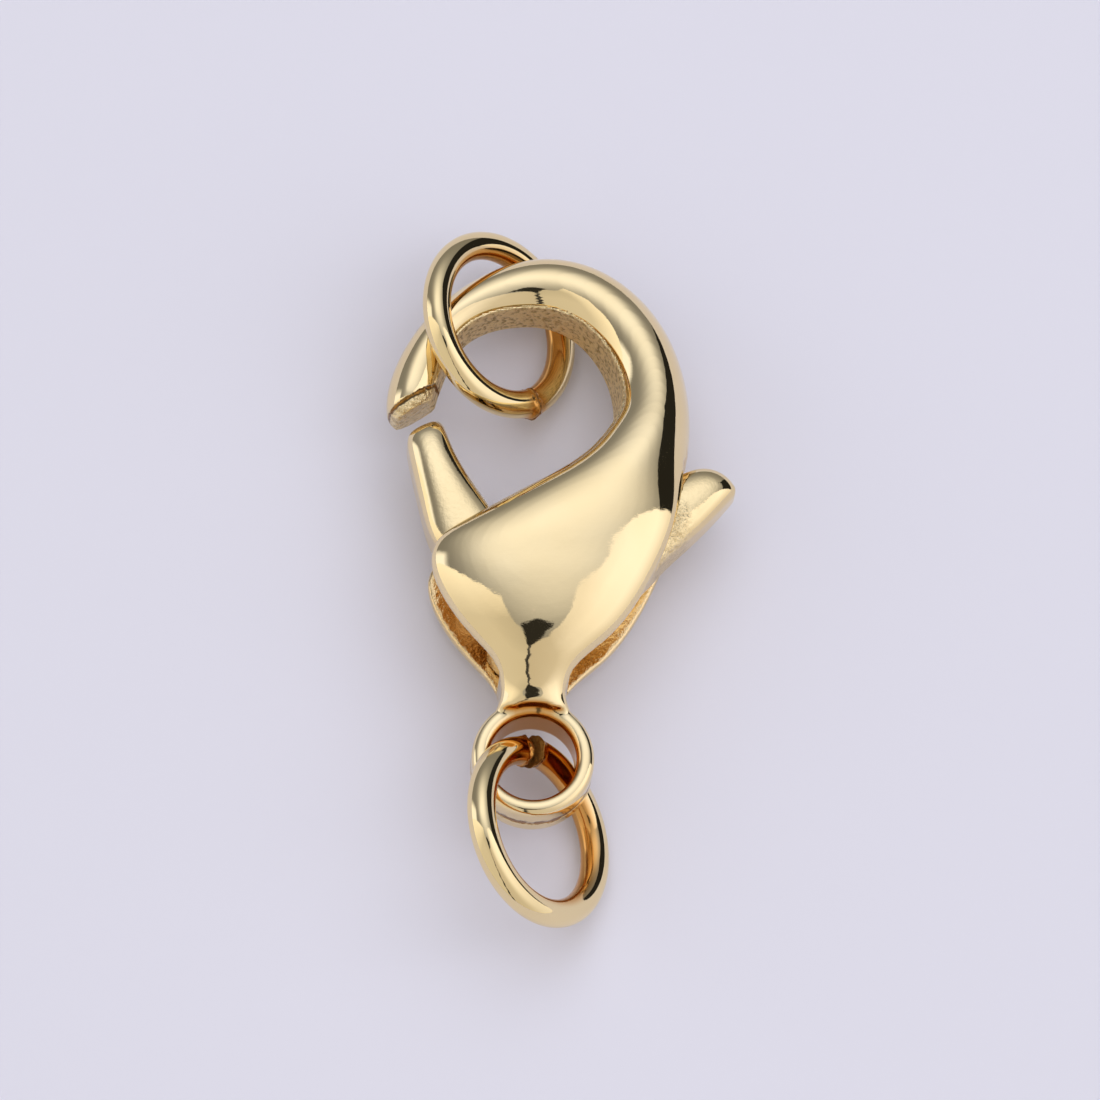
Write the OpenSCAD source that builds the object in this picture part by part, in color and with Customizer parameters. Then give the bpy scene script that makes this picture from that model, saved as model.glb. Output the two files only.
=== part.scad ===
// Lobster clasp with an open jump ring through its hook and another through its eye.
// It lies on its back: +X is the thumb side, +Y runs from the eye to the hook, +Z is up.

/* [Clasp] */
// From the centre of the eye to the outside of the hook's top
reach = 13.6; // [12.5:0.1:15]
// Width over the hook and the shoulders of the body
clasp_w = 8; // [7.2:0.1:9]
// Thickness of the body over both cheeks
body_t = 3.8; // [3.4:0.1:4.2]
// Thickness of the hook at its arch
hook_t = 1.75; // [1.5:0.05:1.9]
// How much further in the back edge of the hook's inner wall lies than its front edge
hook_draft = 0.22; // [0:0.02:0.3]
// Depth of the flat that the back rests on
back_flat = 0.06; // [0.03:0.01:0.12]

/* [Neck and eye] */
// Width of the neck between the body and the eye
neck_w = 1.6; // [1.4:0.1:2]
// Thickness of the neck
neck_t = 2.2; // [2:0.1:2.6]
// Outer diameter of the eye
eye_od = 3.1; // [2.9:0.1:3.4]
// Diameter of the hole in the eye
eye_hole = 2.2; // [2:0.05:2.3]
// Thickness of the eye
eye_t = 1.4; // [1.2:0.05:1.5]

/* [Lever] */
// Width of the slot between the cheeks
slot_w = 1.75; // [1.6:0.05:1.9]
// Clearance on each side of the lever and of the spring in the slot
side_gap = 0.05; // [0.03:0.01:0.1]
// Diameter of the boss round the pivot
hub_d = 1.6; // [1.4:0.1:1.8]
// Diameter of the pivot pin
pin_d = 0.8; // [0.6:0.05:1]
// Radial clearance of the lever on its pin
pin_gap = 0.03; // [0.02:0.01:0.06]
// How far the pin goes into the front cheek
pin_seat = 0.35; // [0.2:0.05:0.4]
// Depth of the pin's end below the slot's back wall
pin_back = 0.5; // [0.3:0.05:0.55]

/* [Spring] */
// Thickness of the spring strip
spring_t = 0.15; // [0.1:0.01:0.2]
// Clearance of the spring's edges in the slot
spring_gap = 0.15; // [0.1:0.05:0.4]

/* [Jump rings] */
// Outer diameter of a jump ring
ring_od = 5; // [4.8:0.02:5.2]
// Wire diameter of a jump ring
wire_d = 0.72; // [0.6:0.02:0.74]
// Width of the cut in a jump ring
ring_cut = 0.1; // [0.05:0.01:0.2]

/* [Hidden] */
gold = [0.86, 0.74, 0.47];
dark_gold = [0.72, 0.58, 0.32];

// Facets: steps between two rows of a table, and steps over half of a section's dome
row_steps = 3;
dome_steps = 7;

lever_t = slot_w - 2 * side_gap;
ring_r = (ring_od - wire_d) / 2;
middle_z = body_t / 2 - back_flat;

// How the jump rings lie: x in percent of clasp_w, the outside of the arch in percent of reach,
// the wire's height in the eye in percent of eye_hole, and angles in degrees.
hook_ring_x = -10.4;
hook_ring_top = 99.7;
hook_ring_drop = 0.115;
hook_ring_turn = 4.7;
hook_ring_spin = -68;
eye_ring_x = 2;
eye_ring_top = 16;
eye_ring_lift = 0.055;
eye_ring_turn = 6.9;
eye_ring_spin = 90;

// Tables give places in percent: x of the clasp's width, y of its reach, from the eye's centre.
function place(x, y) = [x * clasp_w / 100, y * reach / 100];

// One row of a section table, in millimetres: the two edge points, the thickness, the upright
// share of the edge on the first and the second side, the squareness, and the first edge's draft.
function to_mm(row, t, draft) = [
    each place(row[0], row[1]), each place(row[2], row[3]), row[4] * t, row[5], row[6], row[7], draft
];

// Hook from its tip to its right limb.
// Columns: inner x, inner y, outer x, outer y, share of hook_t, inner wall, outer wall, squareness
HOOK = [
    [-31.2, 70.4, -43.2, 66.0, 0.76, 0.50, 0.40, 2.3],
    [-31.0, 71.3, -45.9, 67.5, 0.88, 0.50, 0.20, 2.2],
    [-30.2, 73.2, -46.5, 70.2, 0.94, 0.51, 0.08, 2.1],
    [-28.2, 76.4, -45.4, 74.4, 0.95, 0.52, 0.05, 2.1],
    [-26.0, 80.2, -42.2, 79.4, 0.96, 0.54, 0.05, 2.1],
    [-21.4, 84.0, -36.0, 85.6, 0.96, 0.55, 0.05, 2.1],
    [-14.0, 86.7, -26.6, 91.4, 0.97, 0.56, 0.05, 2.1],
    [-5.4, 87.8, -13.8, 96.6, 0.98, 0.56, 0.05, 2.1],
    [3.2, 88.0, 1.2, 99.4, 1.02, 0.56, 0.05, 2.1],
    [11.4, 86.6, 16.8, 98.4, 1.10, 0.56, 0.05, 2.1],
    [18.6, 83.2, 30.4, 93.8, 1.22, 0.56, 0.05, 2.1],
    [24.0, 78.6, 41.2, 86.6, 1.34, 0.56, 0.05, 2.1],
    [27.0, 73.4, 47.3, 78.2, 1.50, 0.56, 0.05, 2.1],
    [27.2, 68.6, 49.6, 71.0, 1.67, 0.56, 0.08, 2.1],
];

// Body from the bend under the hook to the waist above the neck; thickness is a share of body_t.
BODY = [
    [24.6, 64.8, 50.0, 65.6, 0.84, 0.56, 0.12, 2.1],
    [18.8, 60.0, 49.4, 60.8, 0.895, 0.56, 0.20, 2.1],
    [9.0, 55.4, 48.3, 56.4, 0.935, 0.57, 0.32, 2.1],
    [-2.4, 51.6, 47.2, 52.4, 0.965, 0.58, 0.45, 2.1],
    [-13.2, 47.8, 46.0, 48.8, 0.99, 0.59, 0.54, 2.1],
    [-23.4, 44.2, 44.4, 45.2, 1.00, 0.60, 0.60, 2.1],
    [-30.4, 41.2, 42.2, 41.2, 1.00, 0.60, 0.60, 2.1],
    [-32.6, 37.8, 39.6, 37.6, 0.99, 0.60, 0.60, 2.1],
    [-31.9, 34.4, 36.9, 34.2, 0.98, 0.60, 0.60, 2.1],
    [-29.4, 30.8, 33.8, 30.8, 0.96, 0.61, 0.61, 2.1],
    [-25.8, 27.2, 30.0, 27.2, 0.93, 0.62, 0.62, 2.1],
    [-21.4, 23.8, 25.4, 23.8, 0.89, 0.64, 0.64, 2.1],
    [-16.6, 20.6, 19.6, 20.6, 0.83, 0.66, 0.66, 2.2],
    [-12.2, 17.6, 13.6, 17.6, 0.76, 0.68, 0.68, 2.3],
];

// Neck: heights above the eye's centre are shares of the eye's outer radius.
// Columns: height, share of neck_w, share of neck_t
NECK = [
    [1.20, 1.02, 1.02],
    [0.98, 1.04, 0.96],
    [0.80, 1.16, 0.88],
];

// Gate arm from the hub to its tip.
// Columns: right x, right y, left x, left y, share of lever_t, right wall, left wall, squareness
GATE = [
    [-4.0, 38.0, -22.0, 33.5, 1.00, 0.70, 0.70, 3.0],
    [-9.6, 45.0, -31.4, 41.6, 1.00, 0.60, 0.60, 2.6],
    [-15.4, 50.8, -34.4, 46.8, 1.00, 0.45, 0.45, 2.4],
    [-21.4, 56.2, -36.8, 52.8, 0.98, 0.40, 0.40, 2.4],
    [-25.4, 60.8, -38.8, 58.2, 0.94, 0.40, 0.40, 2.4],
    [-27.6, 64.4, -40.0, 62.0, 0.86, 0.40, 0.40, 2.4],
    [-29.0, 66.2, -39.0, 63.9, 0.66, 0.40, 0.40, 2.2],
    [-31.0, 66.6, -37.0, 64.9, 0.40, 0.40, 0.40, 2.2],
];

// Thumb arm from the hub to its tip: its lower edge comes first, then its upper edge.
THUMB = [
    [-11.0, 25.4, -7.5, 43.8, 1.00, 0.70, 0.70, 3.0],
    [7.5, 25.4, 7.5, 43.8, 1.00, 0.70, 0.70, 3.0],
    [23.6, 28.2, 22.5, 45.8, 1.00, 0.65, 0.65, 3.0],
    [30.8, 32.0, 33.0, 49.6, 1.00, 0.55, 0.55, 2.8],
    [37.2, 35.8, 41.0, 53.6, 1.00, 0.50, 0.45, 2.6],
    [42.8, 39.8, 46.6, 56.2, 0.98, 0.50, 0.40, 2.4],
    [50.0, 43.6, 51.8, 57.6, 0.94, 0.45, 0.40, 2.4],
    [57.2, 48.0, 56.8, 57.7, 0.88, 0.40, 0.40, 2.4],
    [62.0, 51.2, 61.6, 56.4, 0.72, 0.40, 0.40, 2.2],
    [64.4, 52.9, 64.4, 54.4, 0.45, 0.40, 0.40, 2.2],
];

// Outline of the slot, anticlockwise; it runs out of the body on the left, the right and the top.
SLOT = [
    [-50, 15.8], [65, 15.8], [65, 61.4], [49, 58.8], [41, 55.4], [32, 51.4],
    [19, 47.6], [8, 47.4], [2.4, 49.6], [2.0, 57.0], [-50, 57.0],
];

// Middle line of the spring strip, from under the hub round the slot's bottom to the thumb arm.
SPRING = [
    [-13.2, 22.4], [-11.2, 20.4], [-8.2, 18.8], [-4.4, 17.8], [0, 17.5],
    [4.6, 17.9], [8.6, 19.2], [11.8, 21.2], [14.0, 23.4],
];

// Point of the pivot, left of the middle of the body
pivot = place(-14, 33.4);

function spline(a, b, c, d, t) =
    0.5 * (2 * b + (c - a) * t + (2 * a - 5 * b + 4 * c - d) * t ^ 2 + (3 * b - a - 3 * c + d) * t ^ 3);

// A smooth run of rows through the rows of a table
function smooth(rows, steps) = let (last = len(rows) - 1) [
    for (i = [0 : last - 1]) for (j = [0 : steps - 1])
        spline(rows[max(i - 1, 0)], rows[i], rows[i + 1], rows[min(i + 2, last)], j / steps),
    rows[last],
];

// Points of one section: over the top from the first edge to the second, and back underneath.
function section(row) = let (
    first = [row[0], row[1]],
    second = [row[2], row[3]],
    half_t = row[4] / 2,
    power = 2 / row[7]
) [
    for (side = [1, -1]) for (i = [-dome_steps : dome_steps])
        let (
            u = side * i / dome_steps,
            rise = 90 * (1 - abs(u)),
            across = (1 + sign(u) * cos(rise) ^ power) / 2,
            wall = u < 0 ? row[5] : row[6],
            z = side * (wall + (1 - wall) * sin(rise) ^ power),
            lean = unit(second - first) * row[8] * z / 2
        )
        [each (first + (second - first) * across + lean * (1 - across)), z * half_t]
];

// A closed solid through the sections of the rows
module loft(rows) {
    rings = [for (row = rows) section(row)];
    count = len(rings[0]);
    last = len(rings) - 1;
    walls = [
        for (k = [0 : last - 1]) for (i = [0 : count - 1])
            let (a = k * count + i, b = k * count + (i + 1) % count)
            each [[a, b, b + count], [a, b + count, a + count]]
    ];
    start_cap = [[for (i = [count - 1 : -1 : 0]) i]];
    end_cap = [[for (i = [0 : count - 1]) last * count + i]];
    polyhedron([for (ring = rings) each ring], concat(walls, start_cap, end_cap));
}

function neck_rows() = [
    for (row = NECK)
        let (y = row[0] * eye_od / 2, half_w = row[1] * neck_w / 2)
        [-half_w, y, half_w, y, row[2] * neck_t, 0.6, 0.6, 2.4, 0]
];

body_rows = smooth(
    concat(
        [for (row = HOOK) to_mm(row, hook_t, hook_draft)],
        [for (row = BODY) to_mm(row, body_t, 0)],
        neck_rows()
    ),
    row_steps
);
hook_ring_at = [
    place(hook_ring_x, 0).x,
    reach * hook_ring_top / 100 + wire_d / 2 - ring_r,
    middle_z - hook_ring_drop
];
eye_ring_at = [
    place(eye_ring_x, 0).x,
    eye_hole * eye_ring_top / 100 - ring_r,
    middle_z + eye_ring_lift
];
gate_rows = smooth([for (row = GATE) to_mm(row, lever_t, 0)], row_steps);
thumb_rows = smooth([for (row = THUMB) to_mm(row, lever_t, 0)], row_steps);

// Middle of the whole thing as it lies, seen from above
left = min([for (row = body_rows) min(row[0], row[2])]);
right = max([for (row = thumb_rows) max(row[0], row[2])]);
bottom = eye_ring_at.y - ring_half_y(eye_ring_at, eye_ring_turn);
top = hook_ring_at.y + ring_half_y(hook_ring_at, hook_ring_turn);
middle = [(left + right) / 2, (bottom + top) / 2];

module at_pivot() {
    translate([pivot.x, pivot.y, 0]) children();
}

// Ring of the eye with fully rounded edges
module eye() {
    wall = (eye_od - eye_hole) / 2;
    rotate_extrude($fn = 48) translate([(eye_hole + wall) / 2, 0]) {
        square([wall, eye_t - wall], center = true);
        for (side = [-1, 1]) translate([0, side * (eye_t - wall) / 2]) circle(d = wall, $fn = 24);
    }
}

module casting() {
    difference() {
        loft(body_rows);
        cylinder(d = (eye_od + eye_hole) / 2, h = 2 * body_t, center = true, $fn = 48);
    }
    eye();
}

module slot() {
    linear_extrude(slot_w, center = true) polygon([for (p = SLOT) place(p[0], p[1])]);
}

module clasp_body() {
    color(gold) lying() difference() {
        casting();
        slot();
        at_pivot() translate([0, 0, -body_t]) {
            cylinder(d = pin_d, h = body_t + slot_w / 2 + pin_seat, $fn = 32);
        }
        translate([0, reach / 2, back_flat - body_t]) {
            cube([2 * clasp_w, 2 * reach, body_t], center = true);
        }
    }
}

module lever() {
    color(gold) lying() difference() {
        union() {
            loft(gate_rows);
            loft(thumb_rows);
            at_pivot() cylinder(d = hub_d, h = lever_t, center = true, $fn = 48);
        }
        at_pivot() cylinder(d = pin_d + 2 * pin_gap, h = body_t, center = true, $fn = 32);
    }
}

module pivot_pin() {
    color(dark_gold) lying() at_pivot() translate([0, 0, -slot_w / 2 - pin_back]) {
        cylinder(d = pin_d, h = pin_back + slot_w + pin_seat, $fn = 32);
    }
}

function unit(v) = v / norm(v);

// Strip of spring_t along a line of points, as one outline
function strip(points, t) = let (
    last = len(points) - 1,
    side = [
        for (i = [0 : last])
            let (d = unit(points[min(i + 1, last)] - points[max(i - 1, 0)]))
            [-d.y, d.x] * t / 2
    ]
) concat(
    [for (i = [0 : last]) points[i] + side[i]],
    [for (i = [last : -1 : 0]) points[i] - side[i]]
);

module trigger_spring() {
    line = smooth([for (p = SPRING) place(p[0], p[1])], row_steps);
    color(dark_gold) lying() {
        linear_extrude(slot_w - 2 * spring_gap, center = true) polygon(strip(line, spring_t));
    }
}

// Open ring of round wire; spin turns its cut, and the ring's plane is then tilted.
module jump_ring(spin) {
    cut = 2 * asin(ring_cut / 2 / ring_r);
    rotate([0, 0, spin + cut / 2]) rotate_extrude(angle = 360 - cut, $fn = 64) {
        translate([ring_r, 0]) circle(d = wire_d, $fn = 32);
    }
}

// A jump ring lies with its centre at a point over the ground, and its lowest point just touches
// the ground; turn is the compass direction that its right side dips toward.
function ring_tilt(at) = asin((at.z - wire_d / 2) / ring_r);
function ring_half_y(at, turn) = ring_r * sqrt(1 - (sin(ring_tilt(at)) * sin(turn)) ^ 2) + wire_d / 2;

module leaning_ring(at, turn, spin) {
    placed() translate(at) rotate([0, 0, turn]) rotate([0, ring_tilt(at), 0]) jump_ring(spin);
}

module hook_jump_ring() {
    color(gold) leaning_ring(hook_ring_at, hook_ring_turn, hook_ring_spin);
}

module eye_jump_ring() {
    color(gold) leaning_ring(eye_ring_at, eye_ring_turn, eye_ring_spin);
}

// Moves a piece from the eye's centre to the frame's origin, below the middle of the whole
module placed() {
    translate([-middle.x, -middle.y, 0]) children();
}

// Sets the clasp down on its back
module lying() {
    placed() translate([0, 0, middle_z]) children();
}

clasp_body();
lever();
pivot_pin();
trigger_spring();
hook_jump_ring();
eye_jump_ring();
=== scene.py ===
# %% [markdown]
# # A gold lobster clasp with two jump rings
#
# The real clasp is a casting of brass, tumbled, polished by hand and plated with pale gold. A
# lever turns on a hidden pin between its two cheeks, a thin spring closes it, and an open ring of
# round wire hangs at each end. Polished metal has hardly any colour of its own: it shows what
# stands round it. So this lesson spends its effort on three things: smooth forms, softly rounded
# edges, and a room of light and dark for them to mirror.
#
# Everything is laid round a imported model that holds the real sizes. It is loaded first, and its
# box is kept, so that it can be printed beside the dressed clasp's box at the end.

# %% Load the imported model
from math import asin, cos, exp, pi, radians, sin

import bmesh
import bpy
import numpy as np
from mathutils import Matrix, Vector


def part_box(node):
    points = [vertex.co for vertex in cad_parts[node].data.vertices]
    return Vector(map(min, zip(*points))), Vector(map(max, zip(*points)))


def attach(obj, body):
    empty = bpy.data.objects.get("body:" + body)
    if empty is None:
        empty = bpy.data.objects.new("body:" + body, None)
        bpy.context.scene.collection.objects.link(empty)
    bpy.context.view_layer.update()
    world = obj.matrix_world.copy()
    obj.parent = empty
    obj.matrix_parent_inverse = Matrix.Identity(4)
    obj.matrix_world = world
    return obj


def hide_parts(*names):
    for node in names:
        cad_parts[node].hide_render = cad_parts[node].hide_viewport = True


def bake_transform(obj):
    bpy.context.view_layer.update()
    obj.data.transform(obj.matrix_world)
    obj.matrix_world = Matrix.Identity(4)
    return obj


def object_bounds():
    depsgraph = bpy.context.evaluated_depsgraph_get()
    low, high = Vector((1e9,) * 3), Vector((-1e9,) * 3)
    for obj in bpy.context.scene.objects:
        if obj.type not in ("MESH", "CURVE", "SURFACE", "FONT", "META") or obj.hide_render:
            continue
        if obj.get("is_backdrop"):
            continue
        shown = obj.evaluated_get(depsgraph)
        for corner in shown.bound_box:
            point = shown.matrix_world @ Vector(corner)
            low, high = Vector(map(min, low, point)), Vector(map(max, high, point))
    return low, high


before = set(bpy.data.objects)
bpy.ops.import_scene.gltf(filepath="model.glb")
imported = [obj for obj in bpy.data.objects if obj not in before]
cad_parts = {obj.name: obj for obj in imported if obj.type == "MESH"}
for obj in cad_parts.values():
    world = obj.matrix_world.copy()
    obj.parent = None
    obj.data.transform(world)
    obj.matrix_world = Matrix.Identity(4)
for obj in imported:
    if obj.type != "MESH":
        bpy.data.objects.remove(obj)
cad_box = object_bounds()
MM = 0.001
print("nodes:", sorted(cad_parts))
print("size in mm:", [round((high - low) / MM, 3) for low, high in zip(*cad_box)])

# %% [markdown]
# ## Sizes
#
# A few lengths drive the whole clasp. They are written in millimetres, because Blender's remesher
# has a smallest voxel of a ten thousandth of a unit: a mesh is modelled with one unit to the
# millimetre, and brought to metres when it is finished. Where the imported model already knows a
# place, such as the pivot's, it is read from there and not typed again.

# %% Driving sizes, in millimetres
REACH, CLASP_WIDTH = 13.6, 8.0
BODY_THICK, HOOK_THICK, HOOK_DRAFT = 3.8, 1.75, 0.22
NECK_WIDTH, NECK_THICK = 1.6, 2.2
EYE_OUTER, EYE_HOLE, EYE_THICK, EYE_SQUARENESS = 3.1, 2.2, 1.4, 2.8
SLOT_WIDTH, SIDE_GAP, HUB = 1.75, 0.05, 1.6
PIN, PIN_GAP, PIN_SEAT = 0.8, 0.03, 0.35
STRIP_THICK, STRIP_GAP = 0.15, 0.15
WIRE, RING_OUTER, RING_CUT = 0.72, 5.0, 0.1
LEVER_THICK = SLOT_WIDTH - 2 * SIDE_GAP
PIVOT_SHARE = (-14, 33.4)  # the pivot's place from the eye, in percent of width and reach


def in_mm(node):
    """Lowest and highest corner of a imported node, in millimetres."""
    return [np.array(corner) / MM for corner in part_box(node)]


def place(x, y):
    """A point given in percent of the clasp's width and reach, from the eye's centre."""
    return np.array([x * CLASP_WIDTH / 100, y * REACH / 100])


pin_low, pin_high = in_mm("pivot_pin")
PIVOT = (pin_low + pin_high)[:2] / 2
EYE = PIVOT - place(*PIVOT_SHARE)
MIDDLE_Z = sum(in_mm("lever"))[2] / 2
print("pivot", PIVOT.round(3), "eye", EYE.round(3), "middle", round(MIDDLE_Z, 3))

# %% [markdown]
# ## The section tables
#
# The casting is a chain of flattened oval sections: from the hook's tip, over its arch, down the
# body and the neck to the eye. A table row holds a section's two edge points, its thickness and
# how upright each edge stands. The lever is made the same way, from two short chains. A table
# that a person can read is easier to correct against a photograph than a cloud of vertices.

# %% Sections of the casting and of the lever
# Columns: first edge x and y, second edge x and y, thickness share, first wall, second wall,
# squareness. Places are in percent; walls are the upright shares of the two edges.
HOOK = [
    [-31.2, 70.4, -43.2, 66.0, 0.76, 0.50, 0.40, 2.3],
    [-31.0, 71.3, -45.9, 67.5, 0.88, 0.50, 0.20, 2.2],
    [-30.2, 73.2, -46.5, 70.2, 0.94, 0.51, 0.08, 2.1],
    [-28.2, 76.4, -45.4, 74.4, 0.95, 0.52, 0.05, 2.1],
    [-26.0, 80.2, -42.2, 79.4, 0.96, 0.54, 0.05, 2.1],
    [-21.4, 84.0, -36.0, 85.6, 0.96, 0.55, 0.05, 2.1],
    [-14.0, 86.7, -26.6, 91.4, 0.97, 0.56, 0.05, 2.1],
    [-5.4, 87.8, -13.8, 96.6, 0.98, 0.56, 0.05, 2.1],
    [3.2, 88.0, 1.2, 99.4, 1.02, 0.56, 0.05, 2.1],
    [11.4, 86.6, 16.8, 98.4, 1.10, 0.56, 0.05, 2.1],
    [18.6, 83.2, 30.4, 93.8, 1.22, 0.56, 0.05, 2.1],
    [24.0, 78.6, 41.2, 86.6, 1.34, 0.56, 0.05, 2.1],
    [27.0, 73.4, 47.3, 78.2, 1.50, 0.56, 0.05, 2.1],
    [27.2, 68.6, 49.6, 71.0, 1.67, 0.56, 0.08, 2.1],
]
BODY = [
    [24.6, 64.8, 50.0, 65.6, 0.84, 0.56, 0.12, 2.1],
    [18.8, 60.0, 49.4, 60.8, 0.895, 0.56, 0.20, 2.1],
    [9.0, 55.4, 48.3, 56.4, 0.935, 0.57, 0.32, 2.1],
    [-2.4, 51.6, 47.2, 52.4, 0.965, 0.58, 0.45, 2.1],
    [-13.2, 47.8, 46.0, 48.8, 0.99, 0.59, 0.54, 2.1],
    [-23.4, 44.2, 44.4, 45.2, 1.00, 0.60, 0.60, 2.1],
    [-30.4, 41.2, 42.2, 41.2, 1.00, 0.60, 0.60, 2.1],
    [-32.6, 37.8, 39.6, 37.6, 0.99, 0.60, 0.60, 2.1],
    [-31.9, 34.4, 36.9, 34.2, 0.98, 0.60, 0.60, 2.1],
    [-29.4, 30.8, 33.8, 30.8, 0.96, 0.61, 0.61, 2.1],
    [-25.8, 27.2, 30.0, 27.2, 0.93, 0.62, 0.62, 2.1],
    [-21.4, 23.8, 25.4, 23.8, 0.89, 0.64, 0.64, 2.1],
    [-16.6, 20.6, 19.6, 20.6, 0.83, 0.66, 0.66, 2.2],
    [-12.2, 17.6, 13.6, 17.6, 0.76, 0.68, 0.68, 2.3],
]
# Columns: height in eye radii, share of the neck's width, share of its thickness
NECK = [[1.20, 1.02, 1.02], [0.98, 1.04, 0.96], [0.80, 1.16, 0.88]]
GATE = [
    [-4.0, 38.0, -22.0, 33.5, 1.00, 0.70, 0.70, 3.0],
    [-9.6, 45.0, -31.4, 41.6, 1.00, 0.60, 0.60, 2.6],
    [-15.4, 50.8, -34.4, 46.8, 1.00, 0.45, 0.45, 2.4],
    [-21.4, 56.2, -36.8, 52.8, 0.98, 0.40, 0.40, 2.4],
    [-25.4, 60.8, -38.8, 58.2, 0.94, 0.40, 0.40, 2.4],
    [-27.6, 64.4, -40.0, 62.0, 0.86, 0.40, 0.40, 2.4],
    [-29.0, 66.2, -39.0, 63.9, 0.66, 0.40, 0.40, 2.2],
    [-31.0, 66.6, -37.0, 64.9, 0.40, 0.40, 0.40, 2.2],
]
THUMB = [
    [-11.0, 25.4, -7.5, 43.8, 1.00, 0.70, 0.70, 3.0],
    [7.5, 25.4, 7.5, 43.8, 1.00, 0.70, 0.70, 3.0],
    [23.6, 28.2, 22.5, 45.8, 1.00, 0.65, 0.65, 3.0],
    [30.8, 32.0, 33.0, 49.6, 1.00, 0.55, 0.55, 2.8],
    [37.2, 35.8, 41.0, 53.6, 1.00, 0.50, 0.45, 2.6],
    [42.8, 39.8, 46.6, 56.2, 0.98, 0.50, 0.40, 2.4],
    [50.0, 43.6, 51.8, 57.6, 0.94, 0.45, 0.40, 2.4],
    [57.2, 48.0, 56.8, 57.7, 0.88, 0.40, 0.40, 2.4],
    [62.0, 51.2, 61.6, 56.4, 0.72, 0.40, 0.40, 2.2],
    [64.4, 52.9, 64.4, 54.4, 0.45, 0.40, 0.40, 2.2],
]
# The slot's outline in plan, and the run of the spring strip in it, from its left leg to its right
SLOT = [
    [-50, 15.8], [65, 15.8], [65, 61.4], [49, 58.8], [41, 55.4], [32, 51.4],
    [19, 47.6], [8, 47.4], [2.4, 49.6], [2.0, 57.0], [-50, 57.0],
]
SPRING = [
    [-13.2, 22.4], [-11.2, 20.4], [-8.2, 18.8], [-4.4, 17.8], [0, 17.5],
    [4.6, 17.9], [8.6, 19.2], [11.8, 21.2], [14.0, 23.4],
]


def rows_in_mm(table, thick, draft=0.0):
    """Table rows as arrays in millimetres in the shared frame, with the draft as a last column."""
    rows = []
    for row in table:
        edges = [*(place(*row[:2]) + EYE), *(place(*row[2:4]) + EYE)]
        rows.append([*edges, row[4] * thick, *row[5:], draft])
    return rows


def neck_rows():
    """Rows of the neck, which are upright to the clasp's axis."""
    rows = []
    for height, width, thick in NECK:
        y = EYE[1] + height * EYE_OUTER / 2
        half = width * NECK_WIDTH / 2
        rows.append([EYE[0] - half, y, EYE[0] + half, y, thick * NECK_THICK, 0.6, 0.6, 2.4, 0.0])
    return rows


casting_rows = rows_in_mm(HOOK, HOOK_THICK, HOOK_DRAFT) + rows_in_mm(BODY, BODY_THICK) + neck_rows()
print("rows: casting", len(casting_rows), "gate", len(GATE), "thumb", len(THUMB))

# %% [markdown]
# ## From rows to a skin
#
# A spline runs through the rows, and a running mean then irons it: a mirror finish shows every
# change of bend, so the chain has to be smoother than the eye would ask of a matt surface. The
# sections are bridged with quads and capped at both ends.

# %% Spline, section and loft
ROW_STEPS, DOME_STEPS = 8, 18


def spline_rows(table):
    """A smooth run of rows through a table's rows, ironed over the length of one row."""
    rows = np.array(table, float)
    ends = np.vstack([2 * rows[0] - rows[1], rows, 2 * rows[-1] - rows[-2]])
    run = []
    for a, b, c, d in zip(ends, ends[1:], ends[2:], ends[3:]):
        for t in np.arange(ROW_STEPS) / ROW_STEPS:
            curve = 2 * b + (c - a) * t + (2 * a - 5 * b + 4 * c - d) * t**2
            run.append((curve + (3 * b - a - 3 * c + d) * t**3) / 2)
    run = np.array(run + [rows[-1]])
    before = 2 * run[0] - run[ROW_STEPS:0:-1]
    after = 2 * run[-1] - run[-2:-ROW_STEPS - 2:-1]
    weights = np.hanning(2 * ROW_STEPS + 3)[1:-1]
    padded = np.vstack([before, run, after])
    smooth = [np.convolve(column, weights / weights.sum(), "valid") for column in padded.T]
    return np.array(smooth).T


def section(row):
    """Points of one section: over the top from the first edge to the second, back underneath."""
    first, second, thick = row[:2], row[2:4], row[4]
    along = (second - first) / np.linalg.norm(second - first)
    power = 2 / row[7]
    points = []
    for side in (1, -1):
        for u in side * np.linspace(-1, 1, 2 * DOME_STEPS + 1):
            rise = pi / 2 * (1 - abs(u))
            across = (1 + np.sign(u) * cos(rise) ** power) / 2
            wall = row[5] if u < 0 else row[6]
            z = side * (wall + (1 - wall) * sin(rise) ** power)
            x, y = first + (second - first) * across + along * row[8] * z / 2 * (1 - across)
            points.append((x, y, MIDDLE_Z + z * thick / 2))
    return points


def solid(name, vertices, faces, merge=True):
    """A mesh object with its doubles merged and its faces turned outward."""
    mesh = bpy.data.meshes.new(name)
    mesh.from_pydata(vertices, [], faces)
    work = bmesh.new()
    work.from_mesh(mesh)
    if merge:
        bmesh.ops.remove_doubles(work, verts=work.verts, dist=1e-5)
        bmesh.ops.recalc_face_normals(work, faces=work.faces)
    work.to_mesh(mesh)
    work.free()
    piece = bpy.data.objects.new(name, mesh)
    bpy.context.scene.collection.objects.link(piece)
    return piece


def loft(name, rows):
    """A closed skin through the sections of the rows."""
    rings = [section(row) for row in rows]
    count = len(rings[0])
    faces = [
        [k * count + i, k * count + (i + 1) % count, (k + 1) * count + (i + 1) % count, (k + 1) * count + i]
        for k in range(len(rings) - 1) for i in range(count)
    ]
    last = (len(rings) - 1) * count
    caps = [list(range(count)), list(range(last, last + count))]
    return solid(name, [point for ring in rings for point in ring], faces + caps)


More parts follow.
